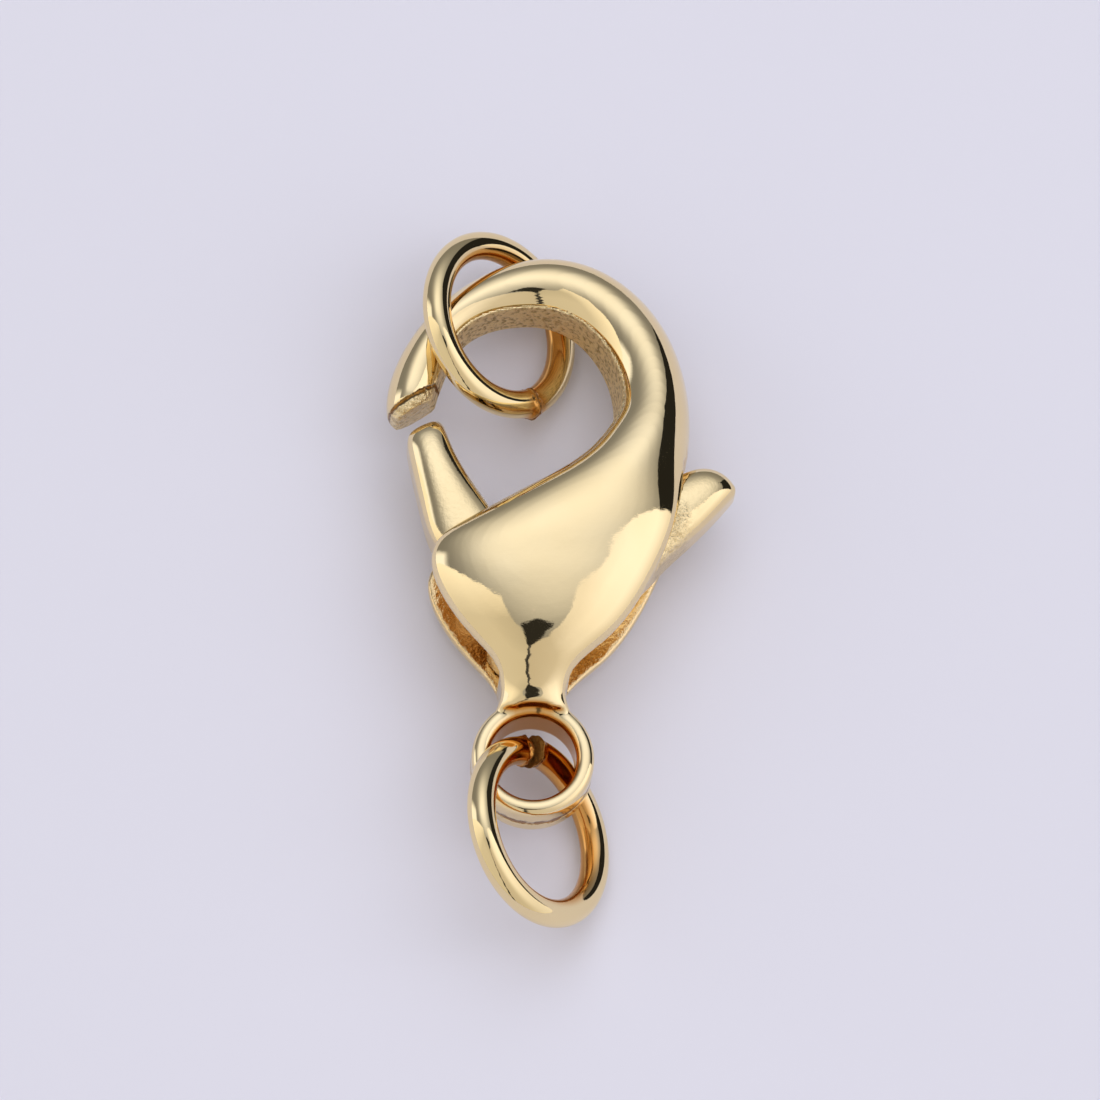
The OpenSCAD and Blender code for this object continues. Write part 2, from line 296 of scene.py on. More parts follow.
def prism(name, outline, low, high):
    """An upright block on an outline of plan points."""
    count = len(outline)
    points = [(x, y, z) for z in (low, high) for x, y in outline]
    sides = [[i, (i + 1) % count, count + (i + 1) % count, count + i] for i in range(count)]
    return solid(name, points, sides + [list(range(count)), list(range(count, 2 * count))])


def disc(centre, diameter, sides=96):
    """Plan points of a circle."""
    angles = 2 * pi * np.arange(sides) / sides
    return [(centre[0] + diameter / 2 * cos(a), centre[1] + diameter / 2 * sin(a)) for a in angles]


def bored_ring(name, centre, outer, hole, thick, turns=96, arc=12):
    """The eye: a flat ring with a nearly flat top and eased edges."""
    wall = (outer - hole) / 2
    straight = (thick - wall) / 2
    power = 2 / EYE_SQUARENESS
    profile = []
    for k in range(2 * arc + 2):
        half = 1 if k <= arc else -1
        angle = pi * (k if k <= arc else k - 1) / arc
        across = np.sign(cos(angle)) * abs(cos(angle)) ** power
        rise = abs(sin(angle)) ** power
        profile.append((hole / 2 + wall / 2 * (1 + across), half * (straight + wall / 2 * rise)))
    points = [
        (centre[0] + r * cos(a), centre[1] + r * sin(a), MIDDLE_Z + z)
        for a in 2 * pi * np.arange(turns) / turns for r, z in profile
    ]
    n = len(profile)
    faces = [
        [i * n + k, i * n + (k + 1) % n, (i + 1) % turns * n + (k + 1) % n, (i + 1) % turns * n + k]
        for i in range(turns) for k in range(n)
    ]
    return solid(name, points, faces)


# %% [markdown]
# ## Cutting, remeshing and rounding
#
# The slot, the holes and the flat back are cut with booleans, which leave knife-sharp edges. No
# polished casting has those. A bevel would stumble over the many small faces there, so the
# piece is remeshed into even voxels and smoothed a little instead: flat and domed faces keep
# their place, and every edge and inner corner comes out softly rounded, as a polishing wheel
# leaves it.

# %% Modifiers as tools
def bake(piece):
    """Makes what the modifiers show the piece's own mesh."""
    graph = bpy.context.evaluated_depsgraph_get()
    mesh = bpy.data.meshes.new_from_object(piece.evaluated_get(graph))
    piece.modifiers.clear()
    piece.data = mesh


def combine(piece, operation, *others):
    """Joins other solids to a piece, or cuts them out of it, and deletes them."""
    for other in others:
        step = piece.modifiers.new(operation, "BOOLEAN")
        step.operation, step.solver, step.object = operation, "MANIFOLD", other
    bake(piece)
    for other in others:
        bpy.data.objects.remove(other)


def round_off(piece, voxel, passes):
    """Even small faces, with the sharp edges smoothed away."""
    remesh = piece.modifiers.new("even faces", "REMESH")
    remesh.mode, remesh.voxel_size, remesh.use_smooth_shade = "VOXEL", voxel, True
    smooth = piece.modifiers.new("polish", "SMOOTH")
    smooth.factor, smooth.iterations = 0.5, passes
    bake(piece)


# %% [markdown]
# ## The clasp's casting
#
# Hook, two domed cheeks, neck and eye are one piece of metal. The loft is cut short in the eye's
# ring, joined to it, and then the slot for the lever, the blind bore for the pin and the small
# flat that it rests on are cut.

# %% Clasp casting
CAST_VOXEL, CAST_PASSES = 0.06, 8
corners = [(-1, -1), (1, -1), (1, 1), (-1, 1)]
ground = [(x * CLASP_WIDTH, y * REACH) for x, y in corners]
casting = loft("clasp_casting", spline_rows(casting_rows))
inside_eye = prism("inside_eye", disc(EYE, (EYE_OUTER + EYE_HOLE) / 2), -BODY_THICK, 2 * BODY_THICK)
combine(casting, "DIFFERENCE", inside_eye)
combine(casting, "UNION", bored_ring("eye_ring", EYE, EYE_OUTER, EYE_HOLE, EYE_THICK))
slot_outline = [place(*point) + EYE for point in SLOT]
lower, upper = MIDDLE_Z - SLOT_WIDTH / 2, MIDDLE_Z + SLOT_WIDTH / 2
combine(
    casting, "DIFFERENCE",
    prism("slot", slot_outline, lower, upper),
    prism("pin_bore", disc(PIVOT, PIN, 48), -BODY_THICK, upper + PIN_SEAT),
    prism("below_ground", ground, -BODY_THICK, 0),
)
round_off(casting, CAST_VOXEL, CAST_PASSES)
print("casting:", len(casting.data.polygons), "faces")

# %% [markdown]
# ## The lever's casting
#
# The gate arm, the boss round the pin and the thumb arm are one piece too. It is cast a little
# thinner than the slot, so that it swings without rubbing.

# %% Lever casting
LEVER_VOXEL, LEVER_PASSES = 0.045, 8
lever = loft("lever_casting", spline_rows(rows_in_mm(GATE, LEVER_THICK)))
thumb = loft("thumb", spline_rows(rows_in_mm(THUMB, LEVER_THICK)))
half_lever = LEVER_THICK / 2
hub = prism("hub", disc(PIVOT, HUB), MIDDLE_Z - half_lever, MIDDLE_Z + half_lever)
combine(lever, "UNION", thumb, hub)
bore = prism("bore", disc(PIVOT, PIN + 2 * PIN_GAP, 48), -BODY_THICK, 2 * BODY_THICK)
combine(lever, "DIFFERENCE", bore)
round_off(lever, LEVER_VOXEL, LEVER_PASSES)
print("lever:", len(lever.data.polygons), "faces")

# %% [markdown]
# ## Geometry Nodes for the wire and the strip
#
# A jump ring is a rule and not a shape: a round wire bent into a circle, cut once, its ends
# pushed a little past each other. That is what Geometry Nodes are for. One tree bends, sweeps and
# cuts the wire, and both rings use it with their own numbers. The spring uses a second tree: a
# flat strip along a path. A few helpers come first, so that each node takes one line to add.

# %% Helpers for node trees
def new_tree(name, inputs):
    """A geometry tree with a mesh going in and out, and named inputs with default values."""
    tree = bpy.data.node_groups.new(name, "GeometryNodeTree")
    face = tree.interface
    face.new_socket("Geometry", in_out="INPUT", socket_type="NodeSocketGeometry")
    for label, kind, value in inputs:
        socket = face.new_socket(label, in_out="INPUT", socket_type=kind)
        if value is not None:
            socket.default_value = value
    face.new_socket("Geometry", in_out="OUTPUT", socket_type="NodeSocketGeometry")
    return tree, tree.nodes.new("NodeGroupInput"), tree.nodes.new("NodeGroupOutput")


def add(tree, kind, settings=None, **inputs):
    """A node with its settings made and its inputs either linked or set."""
    node = tree.nodes.new(kind)
    for key, value in (settings or {}).items():
        setattr(node, key, value)
    for key, value in inputs.items():
        slot = int(key[1:]) if key[0] == "i" and key[1:].isdigit() else key.replace("_", " ")
        socket = node.inputs[slot]
        if isinstance(value, bpy.types.NodeSocket):
            tree.links.new(value, socket)
        else:
            socket.default_value = value
    return node


def maths(tree, operation, *values):
    """A maths node; each value is a number or a socket."""
    inputs = {f"i{k}": value for k, value in enumerate(values)}
    return add(tree, "ShaderNodeMath", {"operation": operation}, **inputs).outputs[0]


def remap(tree, value, low, high, to_low, to_high, course="LINEAR"):
    """A value between low and high as one between to_low and to_high, clamped."""
    return add(
        tree, "ShaderNodeMapRange", {"interpolation_type": course}, Value=value, From_Min=low,
        From_Max=high, To_Min=to_low, To_Max=to_high,
    ).outputs[0]


def run_tree(piece, tree, values):
    """Runs a tree on a piece with values by input name, and keeps the plain mesh that results."""
    step = piece.modifiers.new(tree.name, "NODES")
    step.node_group = tree
    names = {s.name: s.identifier for s in tree.interface.items_tree if s.in_out == "INPUT"}
    for label, value in values.items():
        step[names[label]] = value
    bake(piece)


# %% [markdown]
# ### Bend the wire
#
# The wire is an arc that stops short of a full turn by the width of the cut. Toward its two ends it
# leaves the flat circle, one end up and one end down, by a high power of the way along, so that
# most of the ring stays flat.

# %% Ring tree: its inputs and the bent arc
END_BEND = 6.0
number, whole = "NodeSocketFloat", "NodeSocketInt"
ring_tree, ring_in, ring_out = new_tree("cut ring of wire", [
    ("Bend radius", number, 2.0), ("Wire", number, 0.7), ("Cut", number, 0.1),
    ("Offset of the ends", number, 0.1), ("Rounding of the ends", number, 0.1),
    ("Burr", number, 0.05), ("Steps", whole, 240), ("Sides", whole, 40),
    ("Metal", "NodeSocketMaterial", None),
])
bend_radius = ring_in.outputs["Bend radius"]
cut_angle = maths(ring_tree, "DIVIDE", ring_in.outputs["Cut"], bend_radius)
sweep = maths(ring_tree, "SUBTRACT", 2 * pi, cut_angle)
arc = add(
    ring_tree, "GeometryNodeCurveArc", {"mode": "RADIUS"}, Resolution=ring_in.outputs["Steps"],
    Radius=bend_radius, Start_Angle=maths(ring_tree, "DIVIDE", cut_angle, 2.0), Sweep_Angle=sweep,
)
along = add(ring_tree, "GeometryNodeSplineParameter").outputs["Factor"]
centred = maths(ring_tree, "SUBTRACT", along, 0.5)
outward = maths(ring_tree, "ABSOLUTE", maths(ring_tree, "MULTIPLY", centred, 2.0))
near_end = maths(ring_tree, "POWER", outward, END_BEND)
parted = maths(ring_tree, "MULTIPLY", centred, near_end)
lift = maths(ring_tree, "MULTIPLY", parted, ring_in.outputs["Offset of the ends"])
shift = add(ring_tree, "ShaderNodeCombineXYZ", Z=lift).outputs[0]
bent = add(ring_tree, "GeometryNodeSetPosition", Geometry=arc.outputs["Curve"], Offset=shift)
print("ring tree after the bend:", len(ring_tree.nodes), "nodes")

# %% [markdown]
# ### Sweep it
#
# The tool squeezes the wire at the cut, so the curve's radius drops there by a share. The circle
# that is swept along the curve follows that radius.

# %% Ring tree: thinner ends and the swept wire
END_THINNING = 0.16
run = add(ring_tree, "GeometryNodeSplineParameter").outputs["Length"]
length = maths(ring_tree, "MULTIPLY", sweep, bend_radius)
to_end = maths(ring_tree, "MINIMUM", run, maths(ring_tree, "SUBTRACT", length, run))
short = maths(ring_tree, "DIVIDE", to_end, ring_in.outputs["Rounding of the ends"])
short = maths(ring_tree, "MINIMUM", short, 1.0)
missing = maths(ring_tree, "POWER", maths(ring_tree, "SUBTRACT", 1.0, short), 2.0)
thin = maths(ring_tree, "SUBTRACT", 1.0, maths(ring_tree, "MULTIPLY", missing, END_THINNING))
wire_radius = add(ring_tree, "GeometryNodeSetCurveRadius", Curve=bent.outputs[0], Radius=thin)
half_wire = maths(ring_tree, "DIVIDE", ring_in.outputs["Wire"], 2.0)
round_wire = add(
    ring_tree, "GeometryNodeCurvePrimitiveCircle", {"mode": "RADIUS"},
    Resolution=ring_in.outputs["Sides"], Radius=half_wire,
)
swept = add(
    ring_tree, "GeometryNodeCurveToMesh", Curve=wire_radius.outputs[0],
    Profile_Curve=round_wire.outputs["Curve"], Fill_Caps=True,
)
scale_input = swept.inputs.get("Scale")
if scale_input is not None:
    ring_tree.links.new(add(ring_tree, "GeometryNodeInputRadius").outputs[0], scale_input)
print("ring tree after the sweep:", len(ring_tree.nodes), "nodes")

# %% [markdown]
# ### What the cutters leave
#
# Side cutters tear the wire, so its ends are lumpy and not two clean discs. A share that fades
# away from the cut lets a noise swell the wire there. It stops just behind the two end faces, so
# that they don't grow into each other. The share is stored for the metal too.

# %% Ring tree: burrs at the cut, and the metal
BURR_FADE, FACE_FADE = (0.08, 0.34), (0.06, 0.12)
LUMPS, LUMP_LEVEL = 3.4, 0.42
spot = add(ring_tree, "GeometryNodeInputPosition").outputs[0]
split = add(ring_tree, "ShaderNodeSeparateXYZ", Vector=spot)
turned = maths(ring_tree, "ARCTAN2", split.outputs["Y"], split.outputs["X"])
from_cut = maths(ring_tree, "MULTIPLY", maths(ring_tree, "ABSOLUTE", turned), bend_radius)
at_cut = remap(ring_tree, from_cut, *BURR_FADE, 1.0, 0.0, "SMOOTHSTEP")
behind_face = remap(ring_tree, from_cut, *FACE_FADE, 0.0, 1.0, "SMOOTHSTEP")
lumps = add(ring_tree, "ShaderNodeTexNoise", Vector=spot, Scale=LUMPS, Detail=2.0).outputs["Fac"]
share = maths(ring_tree, "MULTIPLY", at_cut, behind_face)
height = maths(ring_tree, "MULTIPLY", maths(ring_tree, "SUBTRACT", lumps, LUMP_LEVEL), share)
height = maths(ring_tree, "MULTIPLY", height, ring_in.outputs["Burr"])
surface = add(ring_tree, "GeometryNodeInputNormal").outputs[0]
burr = add(ring_tree, "ShaderNodeVectorMath", {"operation": "SCALE"}, i0=surface, Scale=height)
swept = add(
    ring_tree, "GeometryNodeSetPosition", Geometry=swept.outputs[0], Offset=burr.outputs[0]
)
swept = add(
    ring_tree, "GeometryNodeStoreNamedAttribute", {"data_type": "FLOAT", "domain": "POINT"},
    Geometry=swept.outputs[0], Name="rough_skin", Value=at_cut,
)
real = add(ring_tree, "GeometryNodeRealizeInstances", Geometry=swept.outputs[0])
shade = add(ring_tree, "GeometryNodeSetShadeSmooth", Geometry=real.outputs[0])
gilded = add(
    ring_tree, "GeometryNodeSetMaterial", Geometry=shade.outputs[0], Material=ring_in.outputs["Metal"]
)
ring_tree.links.new(gilded.outputs[0], ring_out.inputs[0])
print("ring tree:", len(ring_tree.nodes), "nodes")

# %% [markdown]
# ### The strip
#
# The spring is a strip of sheet metal bent on edge. The path is a row of points, smoothed and
# sampled evenly, and a rectangle with eased corners is swept along it, standing upright.

# %% Tree for a flat strip along a path
strip_tree, strip_in, strip_out = new_tree("flat strip along a path", [
    ("Strip thickness", number, 0.15), ("Strip height", number, 1.4),
    ("Steps", whole, 80), ("Metal", "NodeSocketMaterial", None),
])
CORNER_SHARE, CORNER_STEPS = 0.4, 4
path = add(strip_tree, "GeometryNodeMeshToCurve", Mesh=strip_in.outputs["Geometry"])
path = add(
    strip_tree, "GeometryNodeCurveSplineType", {"spline_type": "CATMULL_ROM"}, Curve=path.outputs[0]
)
path = add(
    strip_tree, "GeometryNodeResampleCurve", Curve=path.outputs[0], Count=strip_in.outputs["Steps"]
)
path = add(strip_tree, "GeometryNodeSetCurveNormal", {"mode": "Z_UP"}, Curve=path.outputs[0])
blank = add(
    strip_tree, "GeometryNodeCurvePrimitiveQuadrilateral", {"mode": "RECTANGLE"},
    Width=strip_in.outputs["Strip thickness"], Height=strip_in.outputs["Strip height"],
)
eased = add(
    strip_tree, "GeometryNodeFilletCurve", {"mode": "POLY"}, Curve=blank.outputs[0],
    Count=CORNER_STEPS,
    Radius=maths(strip_tree, "MULTIPLY", strip_in.outputs["Strip thickness"], CORNER_SHARE),
)
pressed = add(
    strip_tree, "GeometryNodeCurveToMesh", Curve=path.outputs[0], Profile_Curve=eased.outputs[0],
    Fill_Caps=True,
)
real = add(strip_tree, "GeometryNodeRealizeInstances", Geometry=pressed.outputs[0])
gilded = add(
    strip_tree, "GeometryNodeSetMaterial", Geometry=real.outputs[0], Material=strip_in.outputs["Metal"]
)
strip_tree.links.new(gilded.outputs[0], strip_out.inputs[0])
print("trees:", ring_tree.name, "and", strip_tree.name)

# %% [markdown]
# ## Gold
#
# Plated gold is a Principled shader with metallic at one. What makes it look real is what isn't
# even: the plating's tint drifts, the polish has hazy patches, and the wheel leaves a faint ripple
# and a few hairlines. Three numbers that each vertex carries say where more happens. "rough_skin"
# brings in the sandy skin of the casting, with painted shade in its pits. "deep_gold" says where
# painted shade and painted reflection lie: hollows are painted in the deeper, darker colour that
# gold shows where it mirrors itself. "seam_distance" is the way to the line that the mould's two
# halves left, or to a cut, in millimetres.

# %% Helpers for patterns on gold
def noise(tree, scale, detail=2.0, roughness=0.5, distortion=0.0, stretch=None, turn=(0, 0, 0)):
    """A noise in the object's own coordinates; scale is in features to a millimetre."""
    point = add(tree, "ShaderNodeTexCoord").outputs["Object"]
    if stretch is not None:
        point = add(
            tree, "ShaderNodeMapping", Vector=point, Rotation=turn, Scale=stretch
        ).outputs[0]
    return add(
        tree, "ShaderNodeTexNoise", Vector=point, Scale=scale / MM, Detail=detail, Roughness=roughness,
        Distortion=distortion,
    ).outputs["Fac"]


def ramp(tree, value, *stops):
    """A colour ramp with stops of place and colour."""
    node = add(tree, "ShaderNodeValToRGB", Fac=value)
    marks = node.color_ramp.elements
    while len(marks) < len(stops):
        marks.new(0.5)
    for mark, (where, colour) in zip(marks, stops):
        mark.position, mark.color = where, (*colour, 1)
    return node.outputs["Color"]


def bump(tree, height, depth, before=None):
    """Bumps by a height from 0 to 1 that stands for a depth in millimetres."""
    node = add(tree, "ShaderNodeBump", Height=height, Strength=1.0, Distance=depth * MM)
    if before is not None:
        tree.links.new(before, node.inputs["Normal"])
    return node.outputs[0]


def mix(tree, share, first, second):
    """A colour between two colours or sockets."""
    node = add(tree, "ShaderNodeMix", {"data_type": "RGBA"}, i0=share)
    for slot, value in (("A_Color", first), ("B_Color", second)):
        socket = next(s for s in node.inputs if s.identifier == slot)
        if isinstance(value, bpy.types.NodeSocket):
            tree.links.new(value, socket)
        else:
            socket.default_value = (*value, 1)
    return next(s for s in node.outputs if s.identifier == "Result_Color")


def attribute(tree, name):
    """A number that each vertex carries."""
    return add(tree, "ShaderNodeAttribute", {"attribute_name": name}).outputs["Fac"]


# %% [markdown]
# ### Three layers of finish
#
# Each layer takes the colour, the roughness and the normal of the layer below and hands on its
# own. A metal then picks the layers that its piece needs.

# %% Polish, cast skin and seams
# MIRROR_SHADE_PAINT is painted shade and painted reflection: the deeper, darker gold of hollows where gold
# mirrors gold.
MIRROR_SHADE_PAINT, SEAM_DARK, PIT_PAINTED_SHADE = (0.64, 0.28, 0.045), (0.30, 0.14, 0.03), (0.36, 0.23, 0.08)
GRAINS, PIT_RANGE, SKIN_HAZE, HOLLOW_HAZE = 8.0, (0.36, 0.52), 0.42, 0.10
SEAM_WANDER, SEAM_EDGE, SEAM_DEPTH, SEAM_HAZE = 0.03, (0.02, 0.055), 0.06, 0.2


def add_share(tree, haze, share, amount):
    """A roughness with an amount more where a share is one."""
    return maths(tree, "ADD", haze, maths(tree, "MULTIPLY", share, amount))


def wheel_polish(tree, tint, deep_tint, polish, ripple):
    """Gold as the polishing wheel leaves it; polish is a roughness, ripple a depth in millimetres."""
    colour = ramp(tree, noise(tree, 0.35, detail=3.0), (0.35, deep_tint), (0.65, tint))
    patches = noise(tree, 1.3, detail=4.0, roughness=0.6)
    haze = remap(tree, patches, 0.4, 0.75, polish, polish * 2.2)
    waves = bump(tree, noise(tree, 0.8, detail=1.5), ripple)
    orange_peel = bump(tree, noise(tree, 5.0), ripple / 8, waves)
    hairlines = noise(
        tree, 3.0, detail=3.0, roughness=0.7, distortion=0.4, stretch=(1.0, 14.0, 1.0),
        turn=(0, 0, 0.5),
    )
    return colour, haze, bump(tree, hairlines, ripple / 30, orange_peel)


def cast_skin(tree, colour, haze, finish, grain_depth):
    """Adds the sandy skin that no wheel reaches, with painted shade in its pits, and the painted shade of
    gold mirroring gold in hollows.
    """
    skin, hollow = attribute(tree, "rough_skin"), attribute(tree, "deep_gold")
    grains = noise(tree, GRAINS, detail=3.0, roughness=0.6)
    finish = bump(tree, maths(tree, "MULTIPLY", grains, skin), grain_depth, finish)
    haze = add_share(tree, haze, maths(tree, "POWER", skin, 2.0), SKIN_HAZE)
    haze = add_share(tree, haze, hollow, HOLLOW_HAZE)
    # Painted shade and reflection: hollows take the deeper, darker gold of gold mirroring gold.
    colour = mix(tree, hollow, colour, MIRROR_SHADE_PAINT)
    # Painted shade: the pits between the grains are painted darker.
    pits = maths(tree, "MULTIPLY", remap(tree, grains, *PIT_RANGE, 0.8, 0.0), skin)
    return mix(tree, pits, colour, PIT_PAINTED_SHADE), haze, finish


def seam_line(tree, colour, haze, finish):
    """Adds the sunken dark line of a mould's seam or of a cut."""
    wander = remap(tree, noise(tree, 4.0), 0.3, 0.7, -SEAM_WANDER, SEAM_WANDER)
    seam = maths(tree, "ADD", attribute(tree, "seam_distance"), wander)
    seam = remap(tree, seam, *SEAM_EDGE, 1.0, 0.0)
    finish = bump(tree, maths(tree, "SUBTRACT", 1.0, seam), SEAM_DEPTH, finish)
    return mix(tree, seam, colour, SEAM_DARK), add_share(tree, haze, seam, SEAM_HAZE), finish


def gold(name, tint, deep_tint, polish, ripple, grain_depth=0.0, seams=False):
    """A plated metal with the layers that it needs."""
    metal = bpy.data.materials.new(name)
    metal.use_nodes = True
    tree = metal.node_tree
    shader = tree.nodes["Principled BSDF"]
    shader.inputs["Metallic"].default_value = 1.0
    layers = wheel_polish(tree, tint, deep_tint, polish, ripple)
    if grain_depth:
        layers = cast_skin(tree, *layers, grain_depth)
    if seams:
        layers = seam_line(tree, *layers)
    for layer, socket in zip(layers, ("Base Color", "Roughness", "Normal")):
        tree.links.new(layer, shader.inputs[socket])
    return metal


# %% [markdown]
# ### The metals
#
# The two castings share one plating, the drawn wire is a shade deeper, and the hidden spring and
# pin are duller, because nobody polishes them. After the two tints come the polish, from 0.024 for
# a mirror to 0.14, the depth of the ripple and the depth of the grain.

# %% The metals of the pieces
PALE, DEEP = (0.90, 0.73, 0.43), (0.87, 0.69, 0.385)
WIRE_PALE, WIRE_DEEP = (0.89, 0.72, 0.41), (0.86, 0.68, 0.37)
SPRING_PALE, SPRING_DEEP = (0.85, 0.66, 0.36), (0.80, 0.60, 0.31)
PIN_PALE, PIN_DEEP = (0.84, 0.65, 0.36), (0.78, 0.58, 0.30)
casting_gold = gold("pale gold on the casting", PALE, DEEP, 0.024, 0.007, 0.13, seams=True)
lever_gold = gold("pale gold on the lever", PALE, DEEP, 0.030, 0.008, 0.10)
wire_gold = gold("gold on the ring wire", WIRE_PALE, WIRE_DEEP, 0.025, 0.005, 0.08, seams=True)
spring_gold = gold("gold on the spring", SPRING_PALE, SPRING_DEEP, 0.12, 0.004)
pin_gold = gold("gold on the pin", PIN_PALE, PIN_DEEP, 0.14, 0.004)
print("materials:", [m.name for m in bpy.data.materials if "gold" in m.name])

# %% [markdown]
# ## Where each finish lies
#
# A vertex belongs to a place by where it lies and which way it faces. That is quicker and cleaner
# than painting, and it follows the sizes when they change. Each limit is a pair of values between
# which a place fades in or out, so that no hard border shows. Lengths are in millimetres, heights
# along the clasp are shares of its reach, and the rest are parts of a normal.

# %% Helpers for marking
def vertex_arrays(piece):
    """Places and normals of a piece's vertices."""
    mesh = piece.data
    points, normals = np.zeros(len(mesh.vertices) * 3), np.zeros(len(mesh.vertices) * 3)
    mesh.vertices.foreach_get("co", points)
    mesh.vertices.foreach_get("normal", normals)
    return points.reshape(-1, 3), normals.reshape(-1, 3)


def ease(value, low, high):
    """0 below low, 1 above high, and a smooth step between."""
    t = np.clip((value - low) / (high - low), 0, 1)
    return t * t * (3 - 2 * t)


def mark(piece, name, numbers):
    """Writes a number on each vertex."""
    layer = piece.data.attributes.new(name, "FLOAT", "POINT")
    layer.data.foreach_set("value", np.asarray(numbers, np.float32))


print("vertices of the casting:", len(casting.data.vertices))

# %% [markdown]
# ### The inside of the hook
#
# No wheel gets in there. The wall faces the hook's middle, stands nearly upright, and lies in the
# upper part of the clasp.

# %% Inner wall of the hook
HOOK_MIDDLE = place(-2, 71) + EYE
points, normals = vertex_arrays(casting)
share_up = (points[:, 1] - EYE[1]) / REACH
inward = HOOK_MIDDLE - points[:, :2]
inward /= np.linalg.norm(inward, axis=1)[:, None]
facing = (normals[:, :2] * inward).sum(1)
hook_wall = ease(facing, 0.35, 0.55) * (1 - ease(np.abs(normals[:, 2]), 0.34, 0.50))
hook_wall *= ease(share_up, 0.60, 0.66)
print("rough skin on", int((hook_wall > 0.5).sum()), "vertices of the hook's inner wall")

# %% [markdown]
# ### The hook's tip
#
# The mould's halves left a line across the tip, and between it and the tip's end a rough band. The
# way from the tip is measured at right angles to the first row of the hook's table. A seam's
# distance grows where its place ends, so that no line is drawn there.

# %% Seam and rough band at the tip
TIP_BAND, TIP_SOFT, TIP_SKIN, AWAY = 0.27, 0.07, 0.65, 0.5
tip_first, tip_second = place(*HOOK[0][:2]) + EYE, place(*HOOK[0][2:4]) + EYE
tip_across = (tip_second - tip_first) / np.linalg.norm(tip_second - tip_first)
from_tip = (points[:, :2] - tip_first) @ np.array([tip_across[1], -tip_across[0]])
at_tip = ease(EYE[0] - points[:, 0], 2.0, 2.3) * ease(share_up, 0.60, 0.63)
at_tip *= 1 - ease(from_tip, 0.9, 1.2)
tip_band = (1 - ease(from_tip, TIP_BAND - TIP_SOFT, TIP_BAND)) * at_tip
tip_seam = np.abs(from_tip - TIP_BAND) + AWAY * (1 - at_tip)
print("rough skin on", int((tip_band > 0.5).sum()), "vertices of the tip")

# %% [markdown]
# ### The slot and the eye
#
# Both are hollows in which gold mirrors gold, so their colour is painted deeper and darker there, as
# painted shade and painted reflection. The eye also keeps the mould's line round its outside, at
# half its thickness. Its distance is taken as less than it is, which makes that line wider than the
# tip's.

# %% Walls of the slot and of the eye
SLOT_SKIN, SLOT_MIRROR_SHADE, EYE_SEAM_SHARE = 0.12, 0.25, 0.4
off_middle = np.abs(points[:, 2] - MIDDLE_Z)
half_slot = SLOT_WIDTH / 2
toward_middle = -np.sign(points[:, 2] - MIDDLE_Z) * normals[:, 2]
cheek_side = ease(toward_middle, 0.2, 0.5)
slot_end = 1 - ease(off_middle, half_slot - 0.1, half_slot - 0.05)
in_slot = np.maximum(cheek_side, slot_end) * (1 - ease(off_middle, half_slot, half_slot + 0.08))
in_slot *= ease(share_up, 0.15, 0.16) * (1 - ease(share_up, 0.60, 0.62))
from_eye = points[:, :2] - EYE
eye_radius = np.linalg.norm(from_eye, axis=1)
eye_facing = (normals[:, :2] * from_eye).sum(1) / eye_radius
eye_rim = EYE_OUTER / 2
eye_inside = ease(-eye_facing, 0.25, 0.75) * (eye_radius < eye_rim)
eye_outside = ease(eye_facing, 0.3, 0.6) * ease(eye_radius, eye_rim - 0.4, eye_rim - 0.2)
eye_outside *= eye_radius < eye_rim + 0.1
eye_seam = EYE_SEAM_SHARE * off_middle + AWAY * (1 - eye_outside)
mark(casting, "rough_skin", np.maximum.reduce([hook_wall, TIP_SKIN * tip_band, SLOT_SKIN * in_slot]))
# Painted shade and reflection in the slot and inside the eye.
mark(casting, "deep_gold", np.maximum(SLOT_MIRROR_SHADE * in_slot, eye_inside))
mark(casting, "seam_distance", np.minimum(tip_seam, eye_seam))
print("deep gold on", int((eye_inside > 0.5).sum()), "vertices of the eye")

# %% [markdown]
# ### The lever
#
# Its flanks have a trace of grain, there are casting pits where the thumb arm leaves the cheeks,
# and round the pin, where it hides between them, the gold is painted deeper and darker, as painted
# shade.

# %% Flanks, pits and boss of the lever
FLANK_SKIN, PITTED_SKIN, BOSS_MIRROR_SHADE = 0.06, 0.5, 0.55
points, normals = vertex_arrays(lever)
right_of_eye, share_up = points[:, 0] - EYE[0], (points[:, 1] - EYE[1]) / REACH
flank = ease(np.abs(normals[:, 2]), 0.9, 1.0)
near_pin = 1 - ease(np.linalg.norm(points[:, :2] - PIVOT, axis=1), 1.2, 1.9)
pitted = ease(right_of_eye, 2.9, 3.2) * (1 - ease(right_of_eye, 3.7, 4.2))
pitted *= 1 - ease(share_up, 0.47, 0.52)
mark(lever, "rough_skin", np.maximum(FLANK_SKIN * flank, PITTED_SKIN * pitted))
# Painted shade round the pin, where the lever hides between the cheeks.
mark(lever, "deep_gold", BOSS_MIRROR_SHADE * near_pin)
print("pits on", int((pitted > 0.5).sum()), "vertices of the thumb arm")

# %% [markdown]
# ## The jump rings
#
# A ring leans: its lowest point touches the ground and its middle hangs in the hook or the eye.
# The lean follows from the height of its middle, which is read from the imported model. Its ends
# are burred where the cutters tore it. Near its cut and on its inside the gold is painted deeper
# and darker: painted shade and reflection where gold mirrors gold.

# %% Jump rings
END_ROUNDING, BURR, RING_STEPS, WIRE_SIDES = 0.12, 0.35, 360, 44
# Painted shade: how deep the ring's inside and its cut ends are painted, and the fade from the cut in
# millimetres.
INSIDE_MIRROR_SHADE, CUT_MIRROR_SHADE, CUT_SHADE_FADE = 0.85, 0.9, (0.25, 0.6)


